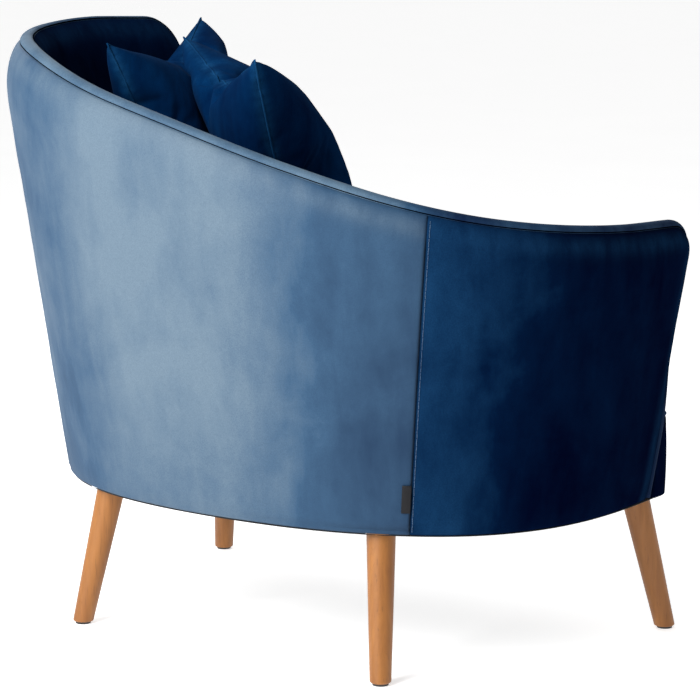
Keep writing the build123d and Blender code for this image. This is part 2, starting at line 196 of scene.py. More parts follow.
def rim_height(s):
    i = 1
    while i < len(RIM) - 2 and RIM[i + 1][0] < s:
        i += 1
    (s0, z0), (s1, z1), (s2, z2), (s3, z3) = RIM[i - 1:i + 3] if i + 3 <= len(RIM) else RIM[-4:]
    if s < s1:
        return z0 + (z1 - z0) * (s - s0) / (s1 - s0)
    if s > s2:
        return z2 + (z3 - z2) * (s - s2) / (s3 - s2)
    a = (s - s1) / (s2 - s1)
    m1 = (z2 - z0) / (s2 - s0) * (s2 - s1)
    m2 = (z3 - z1) / (s3 - s1) * (s2 - s1)
    return (
        (2 * a**3 - 3 * a**2 + 1) * z1 + (a**3 - 2 * a**2 + a) * m1
        + (3 * a**2 - 2 * a**3) * z2 + (a**3 - a**2) * m2
    )


RIM_S = np.linspace(-860, 860, 861)
RIM_Z = np.array([rim_height(s) for s in RIM_S])


def rim_at(s):
    return np.interp(s, RIM_S, RIM_Z)


def wall_point(s, z, u):
    """Chair-frame point at a distance along the wall, a height, and a depth outward from it."""
    x = np.interp(s, PLAN_S, PLAN[:, 0])
    y = np.interp(s, PLAN_S, PLAN[:, 1])
    tx = np.interp(s, PLAN_S, PLAN_TANGENT[:, 0])
    ty = np.interp(s, PLAN_S, PLAN_TANGENT[:, 1])
    return np.stack([x - ty * u, y + tx * u, z + 0 * x], -1)


def front_s(z):
    """Distance from the back centre to the leaning front edge of an arm."""
    y = FRONT_Y - FRONT_LEAN * (np.asarray(z, float) - BASE_Z)
    half = len(PLAN) // 2
    return -np.interp(y, PLAN[:half, 1], PLAN_S[:half])


def arm_edge(side, inset, bottom=BASE_Z):
    """Unrolled outline of one arm from its bottom front corner to the straight rim, in (s, z)."""
    top = rim_at(side * 760) - inset
    r = (HIGH_CORNER if side > 0 else CORNER) - inset
    z_up = np.linspace(bottom, top - r, 60)
    edge = np.stack([side * (front_s(z_up) - inset), z_up], -1)
    low = edge[-1]
    s_top = front_s(top) - inset
    high = np.array([side * (s_top - r), rim_at(side * (s_top - r)) - inset])
    tip = np.array([side * s_top, high[1] + 0.5 * (top - high[1])])
    t = np.linspace(0, 1, 41)[:, None]
    w = math.sqrt(0.5)
    arc = ((1 - t)**2 * low + 2 * w * t * (1 - t) * tip + t**2 * high) / (
        (1 - t)**2 + 2 * w * t * (1 - t) + t**2)
    return edge, arc


def rim_line(first, last, inset, n=260):
    s = np.linspace(first, last, n)
    return np.stack([s, rim_at(s) - inset], -1)


def outline(inset, bottom=BASE_Z):
    """The whole edge of the unrolled wall: up the right arm's front, along the rim, down the left."""
    edge_r, arc_r = arm_edge(-1, inset, bottom)
    edge_l, arc_l = arm_edge(1, inset, bottom)
    rim = rim_line(arc_r[-1][0], arc_l[-1][0], inset)
    return np.vstack([edge_r, arc_r[1:], rim[1:], arc_l[::-1][1:], edge_l[::-1][1:]])


OUTLINE = outline(0, BASE_Z - 120)
OUTLINE_RUN = lengths(OUTLINE)


def edge_distance(points):
    """(distance to the wall's outline, how much the nearest stretch is rim rather than arm front)."""
    flat = points.reshape(-1, 2)
    a = OUTLINE[:-1]
    d = OUTLINE[1:] - a
    far = np.empty(len(flat))
    place = np.empty(len(flat))
    for i in range(0, len(flat), 4000):
        p = flat[i:i + 4000, None, :]
        t = np.clip(((p - a) * d).sum(-1) / (d * d).sum(-1), 0, 1)
        gap = np.linalg.norm(p - (a + t[..., None] * d), axis=-1)
        best = gap.argmin(1)
        row = np.arange(len(best))
        far[i:i + 4000] = gap[row, best]
        place[i:i + 4000] = OUTLINE_RUN[best] + t[row, best] * (OUTLINE_RUN[best + 1] - OUTLINE_RUN[best])
    end = OUTLINE_RUN[-1]
    corner_r = RIM_STARTS[0]
    corner_l = end - RIM_STARTS[1]
    ease = [corner_r, corner_r + RIM_EASE, corner_l - RIM_EASE, corner_l]
    rim_share = np.interp(place, ease, [0, 1, 1, 0])
    return far.reshape(points.shape[:-1]), rim_share.reshape(points.shape[:-1])


def seam_s(seam, z):
    """Place of a panel seam at a height: (at the hem, at 640 mm)."""
    return seam[0] + (seam[1] - seam[0]) * (np.asarray(z, float) - BASE_Z) / SEAM_SPAN


def roll(q, reach):
    """0 away from an edge, rising to 1 at it like a quarter of an ellipse."""
    t = np.clip(1 - q / reach, 0, 1)
    return 1 - np.sqrt(1 - t**2)


def high_share(s):
    """0 on the low side and 1 on the high side of the shell."""
    return np.clip((np.asarray(s, float) - HIGH_FROM) / HIGH_OVER, 0, 1)


def crest_at(s, z, rim_share=1.0):
    """Depth of the crest's roll: fuller on the high side, fading out low on the arm fronts."""
    full = CREST + HIGH_CREST * high_share(s)
    low = np.clip((np.asarray(z, float) - 290) / 170, 0, 1)
    low = low * low * (3 - 2 * low)
    return full * (rim_share + (1 - rim_share) * (0.30 + 0.70 * low))


def reach_at(s, rim_share):
    full = ROLL_OUT_REACH + HIGH_REACH * high_share(s)
    return EDGE_REACH + (full - EDGE_REACH) * rim_share


def soft(s, z, scale, seed):
    """Smooth seeded unevenness between about -1 and 1."""
    flat = np.stack([np.ravel(s) * scale, np.ravel(z) * scale], -1)
    values = [noise.noise(Vector((a, b, seed))) for a, b in flat]
    return np.array(values).reshape(np.shape(s))


def outer_depth(s, z, q, rim_share):
    lean = LEAN * (z - BASE_Z)
    reach = reach_at(s, rim_share)
    pad = 1.6 * soft(s, z, 0.006, 3.1) + 0.6 * soft(s, z * 1.8, 0.02, 8.4)
    calm = np.clip(q / 40, 0, 1)
    return lean - crest_at(s, z, rim_share) * roll(q, reach) + pad * calm


def inner_depth(s, z, q, rim_share):
    rim = rim_at(s)
    lean = LEAN * (z - BASE_Z)
    high = rim - ROLL_IN_REACH
    face_high = LEAN * (rim - BASE_Z) - WALL_TOP
    share = np.clip((z - DECK_Z) / (high - DECK_Z), 0, 1.4)
    face = -WALL_BASE + (face_high + WALL_BASE) * share
    blend = roll(q, ROLL_IN_REACH)
    pad = 1.8 * soft(s, z, 0.007, 5.7) + 0.7 * soft(s, z, 0.022, 1.9)
    return face + (lean - crest_at(s, z, rim_share) - face) * blend - pad * np.clip(q / 50, 0, 1)


# ---- meshes ----

def new_object(name, mesh):
    obj = bpy.data.objects.new(name, mesh)
    bpy.context.scene.collection.objects.link(obj)
    return obj


def smooth(obj):
    obj.data.shade_smooth()
    return obj


def vertices(obj):
    """Vertex places as an array, in metres."""
    co = np.empty(len(obj.data.vertices) * 3, np.float32)
    obj.data.vertices.foreach_get("co", co)
    return co.reshape(-1, 3).astype(float)


def move_vertices(obj, co):
    obj.data.vertices.foreach_set("co", np.asarray(co, np.float32).ravel())
    obj.data.update()


def subdivide(obj):
    mod = obj.modifiers.new("smooth", "SUBSURF")
    mod.levels = mod.render_levels = 1
    return apply_modifiers(obj)


def grid_faces(rows, cols, close_cols=False, close_rows=False, flip=False):
    faces = []
    for i in range(rows if close_rows else rows - 1):
        for j in range(cols if close_cols else cols - 1):
            i2 = (i + 1) % rows
            j2 = (j + 1) % cols
            quad = (i * cols + j, i * cols + j2, i2 * cols + j2, i2 * cols + j)
            faces.append(quad[::-1] if flip else quad)
    return faces


def mesh_object(name, points, faces):
    mesh = bpy.data.meshes.new(name)
    mesh.from_pydata([tuple(p) for p in points.reshape(-1, 3)], [], faces)
    mesh.update()
    return smooth(new_object(name, mesh))


def apply_modifiers(obj):
    depsgraph = bpy.context.evaluated_depsgraph_get()
    mesh = bpy.data.meshes.new_from_object(obj.evaluated_get(depsgraph))
    old = obj.data
    obj.modifiers.clear()
    obj.data = mesh
    if old.users == 0:
        bpy.data.meshes.remove(old)
    smooth(obj)
    return obj


def skin(name, points, flip=False, thickness=CLOTH, offset=-1):
    """Closed thin piece over a grid of chair-frame points; it grows inwards from it."""
    rows, cols = points.shape[:2]
    obj = mesh_object(name, to_row(points), grid_faces(rows, cols, flip=flip))
    mod = obj.modifiers.new("thick", "SOLIDIFY")
    mod.thickness = thickness / 1000
    mod.offset = offset
    mod.use_rim = True
    return apply_modifiers(obj)


def tube(name, line, radius, sides=10, closed=False):
    """Round bead along a polyline of chair-frame points."""
    line = np.asarray(line, float)
    n = len(line)
    if closed:
        tangent = np.roll(line, -1, 0) - np.roll(line, 1, 0)
    else:
        tangent = np.gradient(line, axis=0)
    tangent /= np.linalg.norm(tangent, axis=1)[:, None]
    side = np.cross(tangent, [0, 0, 1.0])
    weak = np.linalg.norm(side, axis=1) < 0.2
    side[weak] = np.cross(tangent[weak], [0, 1.0, 0])
    for i in range(1, n):
        if np.dot(side[i], side[i - 1]) < 0:
            side[i] *= -1
    side /= np.linalg.norm(side, axis=1)[:, None]
    other = np.cross(side, tangent)
    angle = np.linspace(0, 2 * math.pi, sides, endpoint=False)
    r = np.full(n, float(radius)) if np.isscalar(radius) else np.asarray(radius, float)
    rings = (
        line[:, None, :]
        + r[:, None, None] * (np.cos(angle)[None, :, None] * side[:, None, :]
                              + np.sin(angle)[None, :, None] * other[:, None, :])
    )
    faces = grid_faces(n, sides, close_cols=True, close_rows=closed)
    if not closed:
        faces.append(tuple(range(sides))[::-1])
        faces.append(tuple((n - 1) * sides + k for k in range(sides)))
    obj = mesh_object(name, to_row(rings), faces)
    fix_normals(obj)
    return obj


def fix_normals(obj):
    bm = bmesh.new()
    bm.from_mesh(obj.data)
    bmesh.ops.recalc_face_normals(bm, faces=bm.faces)
    bm.to_mesh(obj.data)
    bm.free()
    obj.data.update()


def join(name, objs):
    """One object from several."""
    bm = bmesh.new()
    for obj in objs:
        bm.from_mesh(obj.data)
    mesh = bpy.data.meshes.new(name)
    bm.to_mesh(mesh)
    bm.free()
    for obj in objs:
        bpy.data.objects.remove(obj)
    return smooth(new_object(name, mesh))


# ---- node materials ----

class Nodes:
    """A material's node tree with short ways to add and link nodes."""

    def __init__(self, name):
        self.material = bpy.data.materials.new(name)
        self.material.use_nodes = True
        self.tree = self.material.node_tree
        self.tree.nodes.clear()
        self.out = self.tree.nodes.new("ShaderNodeOutputMaterial")
        self.shader = self.tree.nodes.new("ShaderNodeBsdfPrincipled")
        self.link(self.shader.outputs[0], self.out.inputs["Surface"])
        self.place = self.tree.nodes.new("ShaderNodeTexCoord").outputs["Object"]

    def link(self, a, b):
        self.tree.links.new(a, b)

    def set(self, **values):
        for key, value in values.items():
            self.shader.inputs[key.replace("_", " ")].default_value = value

    def stretched(self, scale):
        node = self.tree.nodes.new("ShaderNodeMapping")
        node.inputs["Scale"].default_value = scale
        self.link(self.place, node.inputs["Vector"])
        return node.outputs[0]

    def noise(self, scale, detail=4.0, rough=0.55, distort=0.0, where=None):
        node = self.tree.nodes.new("ShaderNodeTexNoise")
        node.inputs["Scale"].default_value = scale
        node.inputs["Detail"].default_value = detail
        node.inputs["Roughness"].default_value = rough
        node.inputs["Distortion"].default_value = distort
        self.link(where or self.place, node.inputs["Vector"])
        return node.outputs[0]

    def wave(self, scale, distort, where, detail=2.0):
        node = self.tree.nodes.new("ShaderNodeTexWave")
        node.inputs["Scale"].default_value = scale
        node.inputs["Distortion"].default_value = distort
        node.inputs["Detail"].default_value = detail
        self.link(where, node.inputs["Vector"])
        return node.outputs["Fac"]

    def cells(self, scale, where=None):
        node = self.tree.nodes.new("ShaderNodeTexVoronoi")
        node.inputs["Scale"].default_value = scale
        self.link(where or self.place, node.inputs["Vector"])
        return node.outputs["Distance"]

    def range(self, value, low, high, to_low=0.0, to_high=1.0):
        node = self.tree.nodes.new("ShaderNodeMapRange")
        for i, v in zip((1, 2, 3, 4), (low, high, to_low, to_high)):
            node.inputs[i].default_value = v
        self.link(value, node.inputs[0])
        return node.outputs[0]

    def math(self, kind, a, b):
        node = self.tree.nodes.new("ShaderNodeMath")
        node.operation = kind
        for i, v in enumerate((a, b)):
            if hasattr(v, "is_output"):
                self.link(v, node.inputs[i])
            else:
                node.inputs[i].default_value = v
        return node.outputs[0]

    def mix(self, factor, a, b):
        node = self.tree.nodes.new("ShaderNodeMix")
        node.data_type = "RGBA"
        for socket, v in ((node.inputs[0], factor), (node.inputs[6], a), (node.inputs[7], b)):
            if hasattr(v, "is_output"):
                self.link(v, socket)
            elif isinstance(v, tuple):
                socket.default_value = (*v, 1.0)
            else:
                socket.default_value = v
        return node.outputs[2]

    def attribute(self, name):
        node = self.tree.nodes.new("ShaderNodeAttribute")
        node.attribute_name = name
        return node.outputs["Fac"]

    def bump(self, height, strength, distance, under=None):
        node = self.tree.nodes.new("ShaderNodeBump")
        node.inputs["Strength"].default_value = strength
        node.inputs["Distance"].default_value = distance
        self.link(height, node.inputs["Height"])
        if under is not None:
            self.link(under, node.inputs["Normal"])
        return node.outputs[0]

    def finish(self, color=None, rough=None, normal=None):
        if color is not None:
            self.link(color, self.shader.inputs["Base Color"])
        if rough is not None:
            self.link(rough, self.shader.inputs["Roughness"])
        if normal is not None:
            self.link(normal, self.shader.inputs["Normal"])
        return self.material


def velvet(name, deep, mid, light, nap_and_painted_light_gain, sheen, gloss=0.02, crease=0.22, cloud=(0.40, 0.62),
           clouding=1.0):
    """Short-pile velvet: cloudy brushed nap, fine fibre grain, soft sheen.

    One vertex attribute lightens the nap where it lies light and paints in light and shade. The other,
    above 0, lightens edges with rubbed wear and painted sheen, and below 0 paints shade into seams and
    under the hem."""
    m = Nodes(name)
    clouds = m.noise(7.0, 5.0, 0.62, 0.35)
    patches = m.noise(2.6, 3.0, 0.5, 0.6)
    brush = m.noise(30.0, 4.0, 0.65, 0.25, m.stretched((1.0, 1.0, 0.30)))
    grain = m.noise(620.0, 2.0, 0.6)
    nap = m.math("ADD", m.math("MULTIPLY", clouds, 0.46), m.math("MULTIPLY", patches, 0.30))
    nap = m.math("ADD", nap, m.math("MULTIPLY", brush, 0.24))
    nap = m.math("ADD", m.math("MULTIPLY", nap, clouding), 0.5 * (1 - clouding))
    # The stored per-vertex value adds painted light and shade over the nap, partly the nap's own
    # direction.
    nap = m.math("ADD", nap, m.math("MULTIPLY", m.attribute("nap_and_painted_light"), nap_and_painted_light_gain))
    color = m.mix(m.range(nap, cloud[0], cloud[1]), deep, mid)
    color = m.mix(m.range(nap, cloud[1] - 0.02, cloud[1] + 0.30), color, light)
    # Above 0: lighter edges and crests, rubbed wear plus painted sheen.
    raised = m.math("MAXIMUM", m.attribute("wear_and_painted_light"), 0.0)
    wear_and_sheen = m.math("MULTIPLY", raised, m.range(brush, 0.35, 0.65, 0.35, 1.0))
    color = m.mix(m.math("MULTIPLY", wear_and_sheen, 0.55), color, light)
    color = m.mix(m.range(grain, 0.35, 0.70, 0.0, 0.28), color, deep)
    # Below 0: painted shade, near-black in seams and under the hem.
    seam_shade = tuple(c * 0.18 for c in deep)
    color = m.mix(m.range(m.attribute("wear_and_painted_light"), -0.9, -0.1, 1.0, 0.0), color, seam_shade)
    m.set(Sheen_Weight=sheen, Sheen_Roughness=0.45, Sheen_Tint=(0.55, 0.74, 1.0, 1.0),
          Specular_IOR_Level=gloss, IOR=1.45)
    rough = m.range(nap, 0.35, 0.75, 0.78, 0.60)
    creases = m.noise(15.0, 3.0, 0.5, 0.4, m.stretched((1.0, 1.0, 0.55)))
    normal = m.bump(creases, crease, 0.006)
    normal = m.bump(brush, 0.20, 0.0015, normal)
    normal = m.bump(grain, 0.35, 0.0003, normal)
    return m.finish(color, rough, normal)


def wood(name, dark, pale, axis_scale, gloss, fleck=0.35):
    """Straight-grained wood with short dark flecks along Z."""
    m = Nodes(name)
    grain = m.noise(55.0, 5.0, 0.6, 0.4, m.stretched(axis_scale))
    fine = m.noise(240.0, 3.0, 0.55, 0.1, m.stretched(axis_scale))
    flecks = m.range(m.noise(520.0, 2.0, 0.5, 0.0, m.stretched(axis_scale)), 0.62, 0.72)
    color = m.mix(m.range(grain, 0.36, 0.66), dark, pale)
    color = m.mix(m.range(fine, 0.40, 0.75, 0.0, 0.35), color, dark)
    tone = tuple(c * 0.45 for c in dark)
    color = m.mix(m.math("MULTIPLY", flecks, fleck), color, tone)
    m.set(Specular_IOR_Level=0.45, Coat_Weight=gloss, Coat_Roughness=0.32)
    rough = m.range(fine, 0.3, 0.7, 0.40, 0.56)
    normal = m.bump(fine, 0.12, 0.0004)
    normal = m.bump(flecks, 0.15, 0.0002, normal)
    return m.finish(color, rough, normal)


def metal(name, tint):
    m = Nodes(name)
    cloudy = m.noise(40.0, 4.0, 0.6)
    scratch = m.noise(300.0, 3.0, 0.6, 0.0, m.stretched((1.0, 1.0, 0.12)))
    color = m.mix(m.range(cloudy, 0.35, 0.7), tuple(c * 0.72 for c in tint), tint)
    m.set(Metallic=1.0)
    rough = m.range(scratch, 0.3, 0.7, 0.24, 0.46)
    return m.finish(color, rough, m.bump(scratch, 0.15, 0.0002))


def woven(name, dark, pale, thread, rough_at=0.9, weave=0.5, sheen=0.15):
    """Plain weave; thread is the pitch in threads per metre."""
    m = Nodes(name)
    across = m.wave(thread / 6.2, 0.4, m.stretched((1, 0.02, 0.6)))
    down = m.wave(thread / 6.2, 0.4, m.stretched((0.02, 1, 0.6)))
    cross = m.math("MAXIMUM", across, down)
    dirt = m.noise(9.0, 5.0, 0.6)
    color = m.mix(m.range(dirt, 0.3, 0.7), dark, pale)
    color = m.mix(m.math("MULTIPLY", cross, 0.3), color, pale)
    m.set(Sheen_Weight=sheen, Sheen_Roughness=0.5, Specular_IOR_Level=0.2)
    rough = m.range(dirt, 0.3, 0.7, rough_at, rough_at - 0.12)
    return m.finish(color, rough, m.bump(cross, weave, 0.0004))


def porous(name, dark, pale, cell):
    """Open foam, felt or fibre: fine random cells."""
    m = Nodes(name)
    cells = m.cells(cell)
    cloud = m.noise(12.0, 5.0, 0.6)
    color = m.mix(m.range(cloud, 0.3, 0.7), dark, pale)
    color = m.mix(m.range(cells, 0.0, 0.5, 0.35, 0.0), color, dark)
    m.set(Specular_IOR_Level=0.15)
    return m.finish(color, m.range(cloud, 0.3, 0.7, 0.95, 0.85), m.bump(cells, 0.5, 0.0008))


def plastic(name, tint, rough_low=0.35):
    m = Nodes(name)
    cloud = m.noise(120.0, 4.0, 0.6)
    color = m.mix(m.range(cloud, 0.35, 0.7), tint, tuple(min(1.0, c * 1.6 + 0.01) for c in tint))
    m.set(Specular_IOR_Level=0.45)
    rough = m.range(cloud, 0.3, 0.7, rough_low, rough_low + 0.2)
    return m.finish(color, rough, m.bump(cloud, 0.1, 0.0003))


# Lit and shaded copies of the one navy velvet. The back set is the lit copy, and its light colour is a
# painted highlight. The side set is painted shade and is also used for the shaded inside. Part of the
# difference is the nap lying a different way on each panel.
LIT_BACK_DEEP = (0.010, 0.030, 0.068)
LIT_BACK_MID = (0.027, 0.068, 0.128)
LIT_BACK_HIGHLIGHT = (0.108, 0.156, 0.203)
SHADED_SIDE_DEEP = (0.0003, 0.0012, 0.0105)
SHADED_SIDE_MID = (0.0008, 0.0075, 0.0300)
SHADED_SIDE_LIGHT = (0.0080, 0.0420, 0.1080)

MATERIAL = {
    "velvet_back": velvet("velvet_back", LIT_BACK_DEEP, LIT_BACK_MID, LIT_BACK_HIGHLIGHT, 0.42, 0.05, 0.16,
                          0.22, (0.40, 0.62), 0.84),
    "velvet_side": velvet("velvet_side", SHADED_SIDE_DEEP, SHADED_SIDE_MID, SHADED_SIDE_LIGHT, 0.30, 0.006, 0.0, 0.22,
                          (0.42, 0.62), 0.8),
    # Band: its light colour is a painted highlight where the band runs over the back.
    "velvet_band": velvet("velvet_band", (0.0008, 0.008, 0.034), (0.022, 0.060, 0.116),
                          (0.105, 0.165, 0.225), 0.34, 0.02, 0.04, 0.1, (0.46, 0.66)),
    "velvet_piping": velvet("velvet_piping", (0.002, 0.012, 0.045), (0.008, 0.034, 0.085),
                            (0.030, 0.090, 0.180), 0.2, 0.02, 0.02),
    "velvet_inside": velvet("velvet_inside", SHADED_SIDE_DEEP, SHADED_SIDE_MID, SHADED_SIDE_LIGHT, 0.25, 0.006, 0.0),
    "velvet_pillow": velvet("velvet_pillow", (0.0003, 0.006, 0.030), (0.0012, 0.022, 0.078),
                            (0.012, 0.082, 0.205), 0.2, 0.012, 0.0, 0.85, (0.38, 0.60)),
    "thread": woven("thread", (0.022, 0.060, 0.125), (0.060, 0.120, 0.210), 2200.0, 0.6),
    "tag": woven("tag", (0.003, 0.003, 0.004), (0.009, 0.009, 0.011), 2600.0, 0.6, 0.5, 0.0),
    "beech": wood("beech", (0.222, 0.078, 0.0135), (0.318, 0.122, 0.0235), (1.0, 1.0, 0.06), 0.04),
    "timber": wood("timber", (0.44, 0.28, 0.14), (0.66, 0.47, 0.27), (0.10, 0.10, 0.10), 0.0, 0.15),
    "board": wood("board", (0.24, 0.15, 0.08), (0.36, 0.24, 0.14), (1.0, 1.0, 1.0), 0.0, 0.5),
    "steel": metal("steel", (0.62, 0.62, 0.64)),
    "webbing": woven("webbing", (0.010, 0.010, 0.011), (0.05, 0.05, 0.055), 900.0, 0.8, 0.8),
    "dust_cloth": woven("dust_cloth", (0.006, 0.006, 0.007), (0.022, 0.022, 0.024), 1400.0, 0.95),
    "deck_cloth": woven("deck_cloth", (0.004, 0.012, 0.035), (0.012, 0.030, 0.075), 1500.0, 0.9),
    "felt": porous("felt", (0.10, 0.10, 0.105), (0.24, 0.24, 0.25), 900.0),
    "foam": porous("foam", (0.55, 0.47, 0.26), (0.78, 0.70, 0.45), 600.0),
    "wadding": porous("wadding", (0.62, 0.62, 0.60), (0.85, 0.85, 0.83), 300.0),
    "fibre": porous("fibre", (0.66, 0.66, 0.65), (0.88, 0.88, 0.87), 250.0),
    "glide": plastic("glide", (0.012, 0.010, 0.009)),
    "zip": plastic("zip", (0.004, 0.012, 0.035)),
}


def dress(obj, material, body):
    """Gives a new piece its look and the body it moves with."""
    obj.data.materials.clear()
    obj.data.materials.append(MATERIAL[material])
    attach(obj, body)
    return obj


def store(obj, name, values):
    """Per-vertex value: one lightens edges above 0 (rubbed wear plus painted sheen) and paints seam shade
    below 0; the other gives the nap's direction plus painted light and shade, 1 light and 0 dark.
    """
    values = np.broadcast_to(np.asarray(values, np.float32), len(obj.data.vertices))
    attribute = obj.data.attributes.new(name, "FLOAT", "POINT")
    attribute.data.foreach_set("value", np.ascontiguousarray(values))


def bead(name, line, radius, material, wear_and_painted_light, body, sides=10, closed=False):
    """Sewn piping or seam that rides one body."""
    obj = tube(name, line, radius, sides, closed)
    # The stored value lightens the bead: rubbed wear plus painted sheen.
    store(obj, "wear_and_painted_light", wear_and_painted_light)
    return dress(obj, material, body)


def plan_place(obj):
    """(distance along the wall, height) of every vertex, in chair millimetres."""
    co = (vertices(obj) - ORIGIN) * 1000
    gap = np.linalg.norm(co[:, None, :2] - PLAN[None, ::12, :], axis=-1)
    return PLAN_S[::12][gap.argmin(1)], co[:, 2]


# ---- covers of the wall ----

def ease_rows(n_edge, n_rest, reach, height, top=1.0):
    """Row fractions from 0 at the bottom to top, crowded where the roll is tight."""
    angle = np.linspace(0, math.pi / 2, n_edge)
    near = top - (reach * (1 - np.cos(angle))) / height
    rest = np.linspace(0, near[-1], n_rest, endpoint=False)
    return np.r_[rest, near[::-1]]


def coons(left, right, bottom, top, a, b):
    """Grid of (s, z) points between four edges; left and right run upwards, the others along s."""
    rows = len(b)
    cols = len(a)
    blend_a = a[None, :, None]
    blend_b = b[:, None, None]
    grid = (
        (1 - blend_a) * left[:, None, :] + blend_a * right[:, None, :]
        + (1 - blend_b) * bottom[None, :, :] + blend_b * top[None, :, :]
        - (1 - blend_a) * (1 - blend_b) * bottom[0] - blend_a * (1 - blend_b) * bottom[-1]
        - (1 - blend_a) * blend_b * top[0] - blend_a * blend_b * top[-1]
    )
    return grid.reshape(rows, cols, 2)


def crowded(n, at_start, at_end, reach, length):
    """Column fractions from 0 to 1, crowded at an arm's front edge."""
    angle = np.linspace(0, math.pi / 2, 14)
    near = reach * (1 - np.cos(angle)) / length
    low = near if at_start else np.array([0.0])
    high = 1 - near[::-1] if at_end else np.array([1.0])
    middle = np.linspace(low[-1], high[0], n)[1:-1]
    return np.r_[low, middle, high]


def wall_grid(first, last, inset, reach, bottom=BASE_Z):
    """(s, z) grid over a stretch of the wall; None as an end means the arm's own front edge."""
    start = -ARM_END if first is None else first[1]
    stop = ARM_END if last is None else last[1]
    a = crowded(int((stop - start) / 9), first is None, last is None, reach, stop - start)
    if first is not None:
        a = np.unique(np.r_[a, np.array([1.2, 2.6, 4.5]) / (stop - start)])
    if last is not None:
        a = np.unique(np.r_[a, 1 - np.array([1.2, 2.6, 4.5]) / (stop - start)])
    b = ease_rows(16, 40, ROLL_OUT_REACH, 480.0)

    def side(end, sign):
        if end is not None:
            z = bottom + (rim_at(end[1]) - inset - bottom) * b
            return np.stack([seam_s(end, z), z], -1), np.array([seam_s(end, z[-1]), z[-1]])
        edge, arc = arm_edge(sign, inset, bottom)
        line = np.vstack([edge, arc[1:21]])
        return along(line, b), line[-1]

    left, left_top = side(first, -1)
    right, right_top = side(last, 1)
    rim = []
    if first is None:
        rim.append(arm_edge(-1, inset)[1][20:])
    s0 = left_top[0] if first is not None else rim[0][-1][0]
    s1 = right_top[0] if last is not None else arm_edge(1, inset)[1][-1][0]
    rim.append(rim_line(s0, s1, inset)[(1 if first is None else 0):])
    if last is None:
        rim.append(arm_edge(1, inset)[1][20:][::-1][1:])
    top = along(np.vstack(rim), a)
    low = np.stack([left[0][0] + (right[0][0] - left[0][0]) * a, np.full_like(a, bottom)], -1)
    return coons(left, right, low, top, a, b)


def with_hem(points, normal_in):
    """Adds rows below the grid that roll the cloth under the chair."""
    rows = []
    for depth, drop in ((22.0, 0.6), (12.0, 0.5), (6.0, 1.0), (2.2, 2.6), (0.5, 5.2)):
        row = points[0] + normal_in * depth
        row[:, 2] = BASE_Z + drop
        rows.append(row)
    base = points.copy()
    base[0, :, 2] = BASE_Z + 9
    keep = base[:, 0, 2] >= BASE_Z + 8.9
    return np.vstack([np.array(rows), base[keep]])


def back_nap_and_painted_light(s, z):
    """Nap brushed light across the middle of the back, darker toward both ends: partly the nap, partly a
    painted highlight across the middle and painted shade toward the ends.
    """
    rise = np.clip((s + 275) / 245, 0, 1)
    fall = np.clip((s - 105) / 160, 0, 1)
    across = rise * rise * (3 - 2 * rise) * (1 - 0.60 * fall * fall * (3 - 2 * fall))
    return across * np.clip(0.60 + 0.40 * (z - 200) / 220, 0, 1)


def band_nap_and_painted_light(s):
    """The band follows the panels beside it: painted light over the back and painted shade on the arms,
    partly the nap.
    """
    rise = np.clip((s + 400) / 220, 0, 1)
    fall = np.clip((s - 380) / 140, 0, 1)
    return rise * rise * (3 - 2 * rise) * (1 - 0.7 * fall)


def side_nap_and_painted_light(s, z):
    # Painted light on the side panels near the back seams, fading to painted shade round the arms; partly
    # the nap.
    t = np.clip((np.abs(s) - 330) / 190, 0, 1)
    return (1 - t * t * (3 - 2 * t)) * 0.9


def outer_panel(name, first, last, replaces, material, nap_and_painted_light):
    grid = wall_grid(first, last, SEAM_DROP, EDGE_REACH)
    s, z = grid[..., 0], grid[..., 1]
    q, rim_share = edge_distance(grid)
    depth = outer_depth(s, z, q, rim_share)
    groove = np.exp(-np.clip(q - SEAM_DROP, 0, None) / 2.2)
    for seam in (e for e in (first, last) if e is not None):
        groove = np.maximum(groove, 0.75 * np.exp(-(np.abs(s - seam_s(seam, z)) / 1.7)**1.3))
    depth = depth - 3.6 * groove
    points = wall_point(s, z, depth)
    inward = wall_point(s[0], z[0], depth[0] - 1) - wall_point(s[0], z[0], depth[0])
    points = with_hem(points, inward)
    obj = skin(name, points, flip=True)
    # Painted highlight along the roll below the rim, where the cloth turns up to the light; painted shade
    # in the seam groove.
    near_rim = np.exp(-((q - 24) / 12)**2) * 0.7 - groove
    hem_rows = points.shape[0] - q.shape[0]
    face = np.vstack([np.zeros((hem_rows, q.shape[1])), near_rim])
    # Painted shade on the hem rolled under the chair and on the cloth's inner side.
    wear_and_painted_light = np.full(len(obj.data.vertices), -1.0)
    wear_and_painted_light[:face.size] = face.ravel()
    store(obj, "wear_and_painted_light", wear_and_painted_light)
    store(obj, "nap_and_painted_light", nap_and_painted_light(*plan_place(obj)))
    dress(obj, material, "chair")
    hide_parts(replaces)
    return obj


def seam_stitches(s, offset, z_low, z_high, pitch=3.6):
    """Short raised threads beside a seam, each dipping into the cloth at its ends."""
    pieces = []
    count = int((z_high - z_low) / pitch)
    for i in range(count):
        z = z_low + (i + 0.5 + 0.12 * math.sin(i * 2.3)) * pitch
        zs = np.linspace(z - 0.36 * pitch, z + 0.36 * pitch, 5)
        ss = seam_s(s, zs) + offset + 0.15 * math.sin(i * 1.7)
        grid = np.stack([ss, zs], -1)
        q, share = edge_distance(grid)
        u = outer_depth(ss, zs, q, share) + np.array([-0.5, 0.25, 0.45, 0.25, -0.5])
        pieces.append(tube("stitch", wall_point(ss, zs, u), 0.42, 6))
    return pieces


def crest_line(inset):
    """Line beside the wall's edge: its places along the wall, heights, depths and (s, z) points."""
    line = along(outline(inset, BASE_Z + 4), np.linspace(0, 1, BAND_STEPS))
    s, z = line[:, 0], line[:, 1]
    share = edge_distance(line)[1]
    depth = LEAN * (z - BASE_Z) - crest_at(s, z, share) * roll(inset, reach_at(s, share))
    return s, z, depth, line


